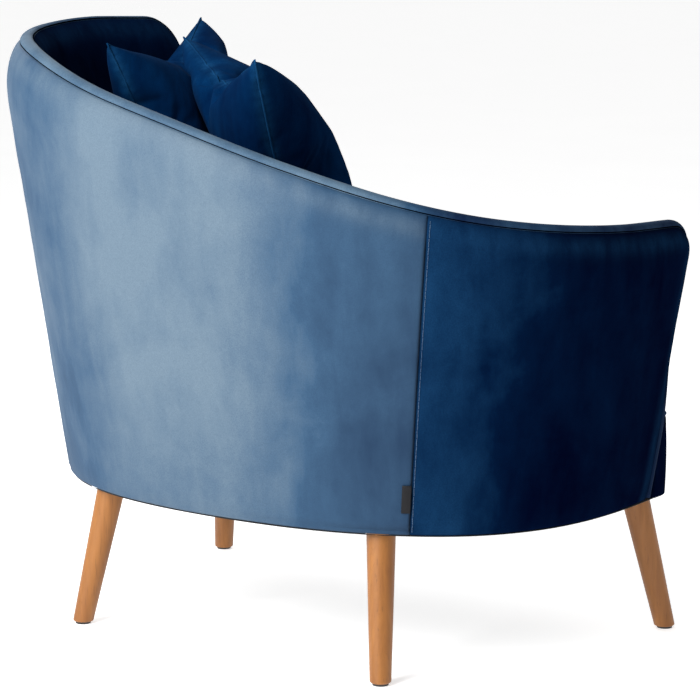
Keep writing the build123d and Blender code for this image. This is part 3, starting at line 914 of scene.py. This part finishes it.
def rim_band():
    """Narrow band over the crest and down both arm fronts, between two seams."""
    profile = [
        (SEAM_DROP + 0.3, -4.4), (SEAM_DROP - 0.5, -1.4), (SEAM_DROP - 1.1, 0.8), (3.1, 1.7),
        (2.4, 2.1), (1.7, 2.3), (1.1, 2.3), (0.6, 2.2), (0.2, 2.0), (0.0, 1.7), (-0.3, 1.2), (-0.8, 0.2),
        (-1.3, -1.4), (-1.6, -3.6),
    ]
    rows = []
    for across, height in profile:
        inset = max(across, 0.0)
        s, z, u, line = crest_line(inset)
        if across < 0:
            u = u + across * 3.0
        run = np.gradient(line, axis=0)
        run /= np.linalg.norm(run, axis=1)[:, None]
        out_s, out_z = -run[:, 1], run[:, 0]
        tilt = np.clip(inset / SEAM_DROP, 0, 1) * BAND_TILT
        level = (1 - tilt**2)**0.5
        lift = height * np.stack([out_s * level, out_z * level, np.full(len(s), tilt)], -1)
        rows.append(wall_point(s + lift[:, 0], z + lift[:, 1], u + lift[:, 2]))
    obj = skin("rim_band_piece", np.array(rows), flip=False)
    # The two edge rows of each seam side are darkened: painted shade in the seam grooves.
    wear_and_painted_light = np.full(len(obj.data.vertices), 0.1)
    wear_and_painted_light[:2 * BAND_STEPS] = -0.9
    wear_and_painted_light[12 * BAND_STEPS:14 * BAND_STEPS] = -0.9
    store(obj, "wear_and_painted_light", wear_and_painted_light)
    store(obj, "nap_and_painted_light", band_nap_and_painted_light(plan_place(obj)[0]))
    dress(obj, "velvet_band", "chair")
    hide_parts("rim_band")
    rim_seam_shadows()


def rim_seam_shadows():
    """The two sewn seams beside the band: near-black cords laid in the grooves as painted shadow."""
    lines = []
    for inset, rise, sink in ((SEAM_DROP + 0.1, 0.0, -0.6), (0.0, 0.3, -4.4)):
        s, z, u, _ = crest_line(inset)
        lines.append(tube("groove", wall_point(s, z + rise, u + sink), SEAM_SHADOW_RADIUS, 8))
    seams = join("rim_seam_painted_shadows", lines)
    store(seams, "wear_and_painted_light", -1.0)
    dress(seams, "velvet_side", "chair")


def inner_cover():
    """Quilt-smooth inside of the wall, from the crest seam down behind the seat."""
    grid = wall_grid(None, None, 0.0, ROLL_IN_REACH, bottom=COVER_LOW)
    s, z = grid[..., 0], grid[..., 1]
    q, share = edge_distance(grid)
    depth = inner_depth(s, z, q, share)
    depth = np.where(q < 3.0, depth - (3.0 - q) * 0.5, depth)
    points = wall_point(s, z, depth)
    obj = skin("inner_wall_piece", points, flip=False)
    wear_and_painted_light = np.zeros(len(obj.data.vertices))
    # Lighter band just inside the crest: rubbed wear plus painted sheen.
    near = (np.exp(-((q - 16) / 12)**2) * 0.5).reshape(-1)
    wear_and_painted_light[:len(near)] = near
    store(obj, "wear_and_painted_light", wear_and_painted_light)
    dress(obj, "velvet_inside", "chair")
    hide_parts("inner_wall_cover", "wall_foam", "outer_wadding")
    return obj


outer_panel("back_panel_piece", RIGHT_SEAM, LEFT_SEAM, "outer_back_panel", "velvet_back", back_nap_and_painted_light)
for side, ends in (("right", (None, RIGHT_SEAM)), ("left", (LEFT_SEAM, None))):
    outer_panel(f"side_panel_{side}_piece", *ends, f"outer_side_panel_{side}", "velvet_side", side_nap_and_painted_light)
rim_band()
inner_cover()

threads = seam_stitches(RIGHT_SEAM, -3.4, 206, float(rim_at(RIGHT_SEAM[1])) - 12)
threads += seam_stitches(LEFT_SEAM, 3.4, 206, float(rim_at(LEFT_SEAM[1])) - 12)
dress(join("seam_stitches", threads), "thread", "chair")


def tag_piece():
    """Blank woven ribbon folded double and caught in the rear right seam."""
    rows = []
    n = 12
    z = np.linspace(233.0, 271.0, 22)
    loop = []
    for i in range(n + 1):
        t = i / n
        loop.append((1.2 + 11.0 * t, 0.7 + 0.9 * t + 0.5 * math.sin(math.pi * t)))
    for angle in np.linspace(-math.pi / 2, math.pi / 2, 5)[1:-1]:
        loop.append((12.2 + 0.5 * math.cos(angle), 1.9 + 0.5 * math.sin(angle)))
    for i in range(n, -1, -1):
        t = i / n
        loop.append((1.2 + 11.0 * t, 1.5 + 0.9 * t + 0.5 * math.sin(math.pi * t)))
    for ds, du in loop:
        s = seam_s(RIGHT_SEAM, z) + ds - 1.0
        grid = np.stack([s, z], -1)
        q, share = edge_distance(grid)
        u = outer_depth(s, z, q, share) + du + 0.35 * np.sin((z - 233) / 9.0)
        rows.append(wall_point(s, z, u))
    obj = skin("tag_piece", np.array(rows), False, RIBBON, 0)
    dress(obj, "tag", "chair")
    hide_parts("side_tag")


tag_piece()


# ---- seat: padded border and loose cushion ----

def rounded_plan(points, radius_list):
    """Closed plan polyline with rounded corners; a radius of 0 keeps a point sharp."""
    pts = [np.array(p, float) for p in points]
    out = []
    for i, p in enumerate(pts):
        r = radius_list[i]
        if r <= 0:
            out.append(p)
            continue
        before = pts[i - 1] - p
        after = pts[(i + 1) % len(pts)] - p
        a = p + before / np.linalg.norm(before) * r
        c = p + after / np.linalg.norm(after) * r
        for t in np.linspace(0, 1, 9):
            out.append((1 - t)**2 * a + 2 * t * (1 - t) * p + t**2 * c)
    return np.array(out)


def closed_along(line, n):
    ring = np.vstack([line, line[:1]])
    return along(ring, np.linspace(0, 1, n, endpoint=False))


def ring_normals(ring):
    t = np.roll(ring, -1, 0) - np.roll(ring, 1, 0)
    t /= np.linalg.norm(t, axis=1)[:, None]
    n = np.stack([t[:, 1], -t[:, 0]], -1)
    area = 0.5 * np.sum(ring[:, 0] * np.roll(ring[:, 1], -1) - np.roll(ring[:, 0], -1) * ring[:, 1])
    return n if area > 0 else -n


def padded_slab(name, ring, z_low, z_high, round_top, round_low, bulge, crown, cap_rings=14):
    """Closed padded block over a plan ring, with swelling sides and a crowned top."""
    normals = ring_normals(ring)
    centre = ring.mean(0)
    n = len(ring)
    levels = []
    height = z_high - z_low
    for a in np.linspace(0, math.pi / 2, 7):
        levels.append((-round_low * (1 - math.sin(a)), z_low + round_low * (1 - math.cos(a))))
    for t in np.linspace(0, 1, 9)[1:-1]:
        z = z_low + round_low + (height - round_low - round_top) * t
        levels.append((bulge * math.sin(math.pi * t), z))
    for a in np.linspace(0, math.pi / 2, 9):
        levels.append((-round_top * (1 - math.cos(a)), z_high - round_top * (1 - math.sin(a))))
    rows = [np.column_stack([ring + normals * off, np.full(n, z)]) for off, z in levels]
    top = rows[-1]
    low = rows[0]
    for k in range(1, cap_rings):
        f = 1 - (k / cap_rings)
        flat = centre + (top[:, :2] - centre) * f
        rows.append(np.column_stack([flat, np.full(n, z_high + crown * (1 - f**2.4))]))
    under = []
    for k in range(1, cap_rings):
        f = 1 - (k / cap_rings)
        flat = centre + (low[:, :2] - centre) * f
        under.append(np.column_stack([flat, np.full(n, z_low)]))
    rows = under[::-1] + rows
    count = len(rows)
    flat_points = np.vstack([*rows, [[*centre, z_low]], [[*centre, z_high + crown]]])
    faces = grid_faces(count, n, close_cols=True)
    for j in range(n):
        faces.append(((j + 1) % n, j, count * n))
        faces.append(((count - 1) * n + j, (count - 1) * n + (j + 1) % n, count * n + 1))
    obj = mesh_object(name, to_row(flat_points), faces)
    fix_normals(obj)
    return obj


def wall_inset_curve(inset, limit):
    s = np.linspace(-limit, limit, 220)
    return wall_point(s, 0 * s, np.full_like(s, -inset))[:, :2]


def seat_ring(inset, front, bow, limit=738.0, n=260, corner_radius=26):
    """Plan of the seat: the wall's inside curve, closed by a bowed front."""
    back = wall_inset_curve(inset, limit)
    left = back[-1][0]
    t = np.linspace(-1, 1, 60)
    bowed = np.stack([-t * left, front - bow * (1 - t**2)], -1)
    corner = rounded_plan([(left, back[-1][1]), (left, front), (left - 60, front - bow * 0.3)],
                          [0, corner_radius, 0])
    front_line = np.vstack([[(left, back[-1][1])], corner[1:-1],
                            bowed[(bowed[:, 0] < left - 30) & (bowed[:, 0] > -left + 30)],
                            corner[1:-1][::-1] * [-1, 1]])
    return closed_along(np.vstack([back, front_line]), n)


def border_ring(inset, n=220):
    side = BORDER_HALF - inset
    y_side = BORDER_FRONT + 19.5 + inset
    y_back = FRONT_Y - FRONT_LEAN * (BORDER_TOP - BASE_Z) - 1.0
    x = np.linspace(-side + 46, side - 46, 60)
    bowed = np.stack([x, BORDER_FRONT + inset + BORDER_BOW * (x / side)**2], -1)
    corner = [(-side, y_back), (-side, y_side), (-side + 60, y_side - 2.0)]
    right_corner = rounded_plan(corner, [0, 40, 0])
    left_corner = right_corner[::-1] * [-1, 1]
    ring = np.vstack([right_corner[:-1], bowed, left_corner[1:]])
    return closed_along(ring, n)


def front_border():
    ring = border_ring(1.5)
    block = padded_slab("front_border_piece", ring, BASE_Z + 0.6, BORDER_TOP, 15.0, 3.0, 1.4, 0.4, 4)
    store(block, "wear_and_painted_light", 0.0)
    dress(block, "velvet_inside", "chair")
    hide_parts("front_border_cover", "front_border_foam")
    ring = border_ring(3.0)
    keep = ring[ring[:, 1] < FRONT_Y - FRONT_LEAN * (BORDER_TOP - BASE_Z) - 8]
    order = np.argsort(np.arctan2(keep[:, 0], -(keep[:, 1] - 120)))
    line = np.column_stack([keep[order], np.full(len(keep), BORDER_TOP - 5.5)])
    # The piping is lightened a little: rubbed wear plus painted sheen.
    bead("front_border_piping", line, 2.6, "velvet_piping", 0.4, "chair")


front_border()


def deck_pad():
    """Foam deck under taut lining cloth, tucked in against the arms and the border."""
    ring = seat_ring(DECK_INSET, DECK_FRONT, 0.0, 744.0, 260, 5)
    obj = padded_slab("deck_pad_piece", ring, 278.2, 329.2, 3.0, 1.5, 0.0, 0.3, 4)
    dress(obj, "deck_cloth", "chair")
    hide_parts("deck_cloth", "deck_foam")


deck_pad()


def simulate(obj, pressure, frames, cap, voxel):
    """Inflates a soft piece as cloth, keeps the move small, and fixes the result in the mesh."""
    start = obj.copy()
    start.data = obj.data.copy()
    bpy.context.scene.collection.objects.link(start)
    remesh = start.modifiers.new("remesh", "REMESH")
    remesh.mode = "VOXEL"
    remesh.voxel_size = voxel
    apply_modifiers(start)
    before = vertices(start)
    run_cloth(start, pressure, frames)
    move = vertices(start) - before
    size = np.linalg.norm(move, axis=1, keepdims=True)
    move *= np.minimum(1.0, cap / np.maximum(size, 1e-9))
    move_vertices(start, before + move)
    old = obj.data
    obj.data = start.data
    bpy.data.objects.remove(start)
    bpy.data.meshes.remove(old)
    return subdivide(obj)


def run_cloth(obj, pressure, frames, stiff=15.0, bending=0.5, mass=0.3):
    """Runs a closed cloth shell under inner pressure and keeps its last shape."""
    cloth = obj.modifiers.new("cloth", "CLOTH")
    settings = cloth.settings
    settings.quality = 6
    settings.mass = mass
    settings.tension_stiffness = stiff
    settings.compression_stiffness = stiff
    settings.shear_stiffness = stiff / 2
    settings.bending_stiffness = bending
    settings.air_damping = 1.5
    settings.use_pressure = True
    settings.uniform_pressure_force = pressure
    settings.effector_weights.gravity = 0.0
    cloth.collision_settings.use_collision = False
    cloth.collision_settings.use_self_collision = False
    cloth.point_cache.frame_start = 1
    cloth.point_cache.frame_end = frames
    scene = bpy.context.scene
    scene.frame_start = 1
    scene.frame_end = frames
    for f in range(1, frames + 1):
        scene.frame_set(f)
    apply_modifiers(obj)
    scene.frame_set(1)


def seat_cushion():
    """Boxed seat cushion: crowned top, sides drawn in at the welts."""
    ring = seat_ring(SEAT_INSET, SEAT_FRONT, SEAT_BOW)
    low, high = SEAT_LOW + 1.0, SEAT_HIGH - 16.0
    body = padded_slab("seat_cushion_piece", ring, low, high, 16.0, 14.0, 4.5, 11.0)
    simulate(body, 3.0, 18, 0.006, 0.006)
    co = vertices(body)
    co[:, 2] = np.clip(co[:, 2], SEAT_LOW / 1000, None)
    move_vertices(body, co)
    store(body, "wear_and_painted_light", 0.0)
    dress(body, "velvet_inside", "seat_cushion")
    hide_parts("seat_cushion_cover", "seat_cushion_foam")
    normals = ring_normals(ring)
    for name, z in (("top", SEAT_HIGH - 22.0), ("bottom", SEAT_LOW + 10.0)):
        line = np.column_stack([ring + normals * 2.6, np.full(len(ring), z)])
        line[:, 2] += 1.2 * np.sin(np.linspace(0, 14 * math.pi, len(ring), endpoint=False))
        # The welts are lightened a little: rubbed wear plus painted sheen.
        bead("seat_welt_" + name, line, 3.0, "velvet_piping", 0.4, "seat_cushion", closed=True)


seat_cushion()


# ---- loose scatter cushions ----

def cushion_matrix(centre, along_edge, up):
    """Local X along the top edge, Y up, Z out of the leaning face; millimetres to the row frame."""
    x = Vector(along_edge).normalized()
    y = Vector(up)
    y = (y - x * y.dot(x)).normalized()
    z = x.cross(y)
    m = Matrix((x, y, z)).transposed().to_4x4()
    m.translation = Vector(to_row(centre))
    return m


def pillow_mesh(name, n, side, seed):
    """Two square faces sewn round the edge, with a little filling."""
    t = np.linspace(-1, 1, n + 1)
    x, y = np.meshgrid(t, t)
    dome = np.clip((1 - x**2) * (1 - y**2), 0, None)**0.5
    rng = np.random.default_rng(seed)
    lumps = sum(
        rng.uniform(-1, 1) * np.sin(x * rng.uniform(1.5, 4) + rng.uniform(0, 6))
        * np.sin(y * rng.uniform(1.5, 4) + rng.uniform(0, 6)) for _ in range(6)
    )
    verts = []
    index = {}
    for face in (1, -1):
        for j in range(n + 1):
            for i in range(n + 1):
                border = i in (0, n) or j in (0, n)
                if border and face == -1:
                    index[(-1, i, j)] = index[(1, i, j)]
                    continue
                index[(face, i, j)] = len(verts)
                h = dome[j, i] * (16 + 2.5 * lumps[j, i])
                verts.append((x[j, i] * side / 2, y[j, i] * side / 2, face * h))
    faces = []
    for face in (1, -1):
        for j in range(n):
            for i in range(n):
                quad = [index[(face, i, j)], index[(face, i + 1, j)],
                        index[(face, i + 1, j + 1)], index[(face, i, j + 1)]]
                faces.append(quad if face == 1 else quad[::-1])
    border = [index[(1, i, 0)] for i in range(n)] + [index[(1, n, j)] for j in range(n)]
    border += [index[(1, i, n)] for i in range(n, 0, -1)] + [index[(1, 0, j)] for j in range(n, 0, -1)]
    return mesh_object(name, np.array(verts) / 1000, faces), border


def press(obj, point, normal, soft_by=18.0, share=None):
    """Flattens a soft piece softly where it leans on a plane, given in chair millimetres."""
    co = (vertices(obj) - ORIGIN) * 1000
    d = (co - point) @ normal
    over = d > -soft_by
    squeezed = -soft_by * np.exp(-(d + soft_by) / soft_by)
    move = squeezed - d
    if share is not None:
        move = np.clip(move, -34.0, 0) * share
    co[over] += move[over, None] * normal
    move_vertices(obj, to_row(co))


def scatter_cushion(tag, centre, along_edge, up, seed, tilt, belly, lean_on):
    """A square velvet cushion with a sewn edge, its filling showing as soft creases."""
    n = 70
    body = "scatter_cushion_" + tag
    obj, border = pillow_mesh("scatter_" + tag + "_piece", n, PILLOW_CUT, seed)
    run_cloth(obj, 6.0, 36, stiff=22.0, bending=0.06, mass=0.25)
    co = vertices(obj)
    low, high = co.min(0), co.max(0)
    size = (high - low) * 1000
    middle = (low + high) / 2
    scale = np.array([PILLOW / size[0], PILLOW / size[1], PILLOW_THICK / size[2]])
    co = (co - middle) * scale
    deep = PILLOW_THICK / 2000
    full = deep * (np.abs(co[:, 2]) / deep)**0.86
    co[:, 2] = np.sign(co[:, 2]) * full * np.where(co[:, 2] < 0, belly[0], belly[1])
    x = co[:, 0] / 0.21
    y = co[:, 1] / 0.21
    slump = 0.010 * tilt * (x * y) + 0.012 * (y**2 - 0.35) * tilt
    co[:, 2] += slump
    co[:, 1] -= 0.006 * (1 - x**2) * (y > 0) * np.abs(y)
    move_vertices(obj, co)
    edge = co[border] * 1000
    subdivide(obj)
    edge_sheen_from_seam(obj, edge)
    local = vertices(obj) * 2000 / PILLOW
    inside = np.clip((1 - np.abs(local[:, :2]).max(1)) / 0.35, 0, 1)
    inside *= np.clip((0.75 - local[:, 1]) / 0.4, 0, 1)
    place = cushion_matrix(centre, along_edge, up)
    obj.data.transform(place)
    obj.data.update()
    for point, normal in lean_on:
        press(obj, np.array(point), np.array(normal) / np.linalg.norm(normal), 18.0, inside)
    press(obj, np.array([0, 0, SEAT_HIGH + 1.5]), np.array([0, 0, -1.0]), 6.0)
    dress(obj, "velvet_pillow", body)
    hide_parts("scatter_cover_" + tag, "scatter_filling_" + tag)
    seam_line = to_chair(edge, place)
    # The seam bead is lightened fully: painted sheen along the sewn edge.
    bead("scatter_" + tag + "_seam", seam_line, 1.5, "velvet_pillow", 1.0, body, 8, True)
    zip_pieces(tag, edge, place, body)


def to_chair(local, place):
    """Local cushion millimetres to chair-frame millimetres."""
    row = np.array([place @ Vector(p / 1000) for p in local])
    return (row - ORIGIN) * 1000


def edge_sheen_from_seam(obj, edge):
    # Lighter towards the sewn edge: painted sheen where the seam catches the light.
    co = vertices(obj) * 1000
    gap = np.full(len(co), 1e9)
    for p in edge[::2]:
        gap = np.minimum(gap, np.linalg.norm(co - p, axis=1))
    store(obj, "wear_and_painted_light", np.exp(-(gap / 9.0)**2) * 0.9)


def zip_pieces(tag, edge, place, body):
    """Concealed zip along the bottom seam: small teeth and a pull."""
    bottom = edge[(edge[:, 1] < edge[:, 1].min() + 60) & (np.abs(edge[:, 0]) < 150)]
    bottom = bottom[np.argsort(bottom[:, 0])]
    teeth = []
    xs = np.arange(-140, 140, 4.0)
    ys = np.interp(xs, bottom[:, 0], bottom[:, 1])
    zs = np.interp(xs, bottom[:, 0], bottom[:, 2])
    for x, y, z in zip(xs, ys, zs):
        tooth = [(-0.4, -1.6), (-1.9, -0.8), (-2.2, 0.0), (-1.9, 0.8), (-0.4, 1.6)]
        line = np.array([(x, y + dy, z + dz) for dy, dz in tooth])
        teeth.append(tube("tooth", to_chair(line, place), 0.75, 6))
    y0 = float(np.interp(-110, bottom[:, 0], bottom[:, 1]))
    z0 = float(np.interp(-110, bottom[:, 0], bottom[:, 2]))
    pull = np.array([(-110, y0 - 2.0, z0), (-106, y0 - 3.4, z0 + 0.5), (-100, y0 - 3.8, z0 + 0.8),
                     (-94, y0 - 3.4, z0 + 1.0)])
    teeth.append(tube("pull", to_chair(pull, place), [1.2, 2.0, 2.2, 1.5], 8))
    obj = join("scatter_" + tag + "_zip_piece", teeth)
    dress(obj, "zip", body)
    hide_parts("scatter_zip_" + tag)


MEETING = (201.0, 172.0, 640.0)
MEETING_WAY = (0.757, 0.573, -0.313)
scatter_cushion("rear", (304.3, 127.3, 643.0), (-165, 385, -27), (92, 40, 398), 4, 0.5,
                (1.45, 1.0), [(MEETING, [-c for c in MEETING_WAY])])
scatter_cushion("front", (94.6, 216.8, 631.0), (-325, 247, -9), (90, 119, 388), 11, -0.6,
                (1.66, 0.9), [(MEETING, MEETING_WAY)])


# ---- CAD pieces that stay, with their own materials ----

slots = {row["node"]: row["material_slot"] for row in frame["record"]["subparts"]}
for node, obj in frame["nodes"].items():
    slot = slots.get(node)
    if slot in MATERIAL:
        obj.data.materials.clear()
        obj.data.materials.append(MATERIAL[slot])


# ---- floor, light and camera ----

def floor():
    bpy.ops.mesh.primitive_circle_add(vertices=96, radius=45, fill_type="NGON", location=(0, 0, -0.0005))
    obj = bpy.context.object
    obj.name = "floor"
    m = Nodes("floor")
    tone = m.mix(m.range(m.noise(2.0, 3.0), 0.3, 0.7), (0.90, 0.90, 0.90), (0.93, 0.93, 0.93))
    m.set(Roughness=0.8, Specular_IOR_Level=0.2, Emission_Color=(1.0, 1.0, 1.0, 1.0),
          Emission_Strength=FLOOR_GLOW)
    obj.data.materials.append(m.finish(tone))


def area_light(name, place, power):
    """Large soft square light aimed at the middle of the chair."""
    data = bpy.data.lights.new(name, "AREA")
    data.shape = "SQUARE"
    data.size = LIGHT_SIZE
    data.energy = power
    obj = bpy.data.objects.new(name, data)
    bpy.context.scene.collection.objects.link(obj)
    obj.location = place
    obj.rotation_euler = (middle - place).to_track_quat("-Z", "Y").to_euler()
    return obj


def world():
    w = bpy.data.worlds.new("studio")
    w.use_nodes = True
    back = w.node_tree.nodes["Background"]
    back.inputs["Color"].default_value = (1, 1, 1, 1)
    back.inputs["Strength"].default_value = WORLD_STRENGTH
    bpy.context.scene.world = w


floor()
world()

EYE = Vector(to_row((-2404.6, 3282.3, 1015.8)))
AIM = Vector(to_row((-162.0, 350.0, 423.5)))

camera_data = bpy.data.cameras.new("camera")
camera_data.lens = LENS
camera_data.sensor_width = 36.0
camera_data.shift_y = LENS_SHIFT
camera = bpy.data.objects.new("camera", camera_data)
bpy.context.scene.collection.objects.link(camera)
camera.location = EYE
camera.rotation_euler = (AIM - EYE).to_track_quat("-Z", "Y").to_euler()
bpy.context.scene.camera = camera

view = (AIM - EYE).normalized()
right = view.cross(Vector((0, 0, 1))).normalized()
middle = Vector(((CAD_BOX[0][0] + CAD_BOX[1][0]) / 2, (CAD_BOX[0][1] + CAD_BOX[1][1]) / 2, 0.5))
area_light("key", middle - right * 2.3 - view * 2.3 + Vector((0, 0, 1.5)), KEY_POWER)
area_light("fill", middle + view * 2.5 - right * 1.0 + Vector((0, 0, 2.2)), FILL_POWER)

bpy.context.scene.view_settings.view_transform = "Standard"
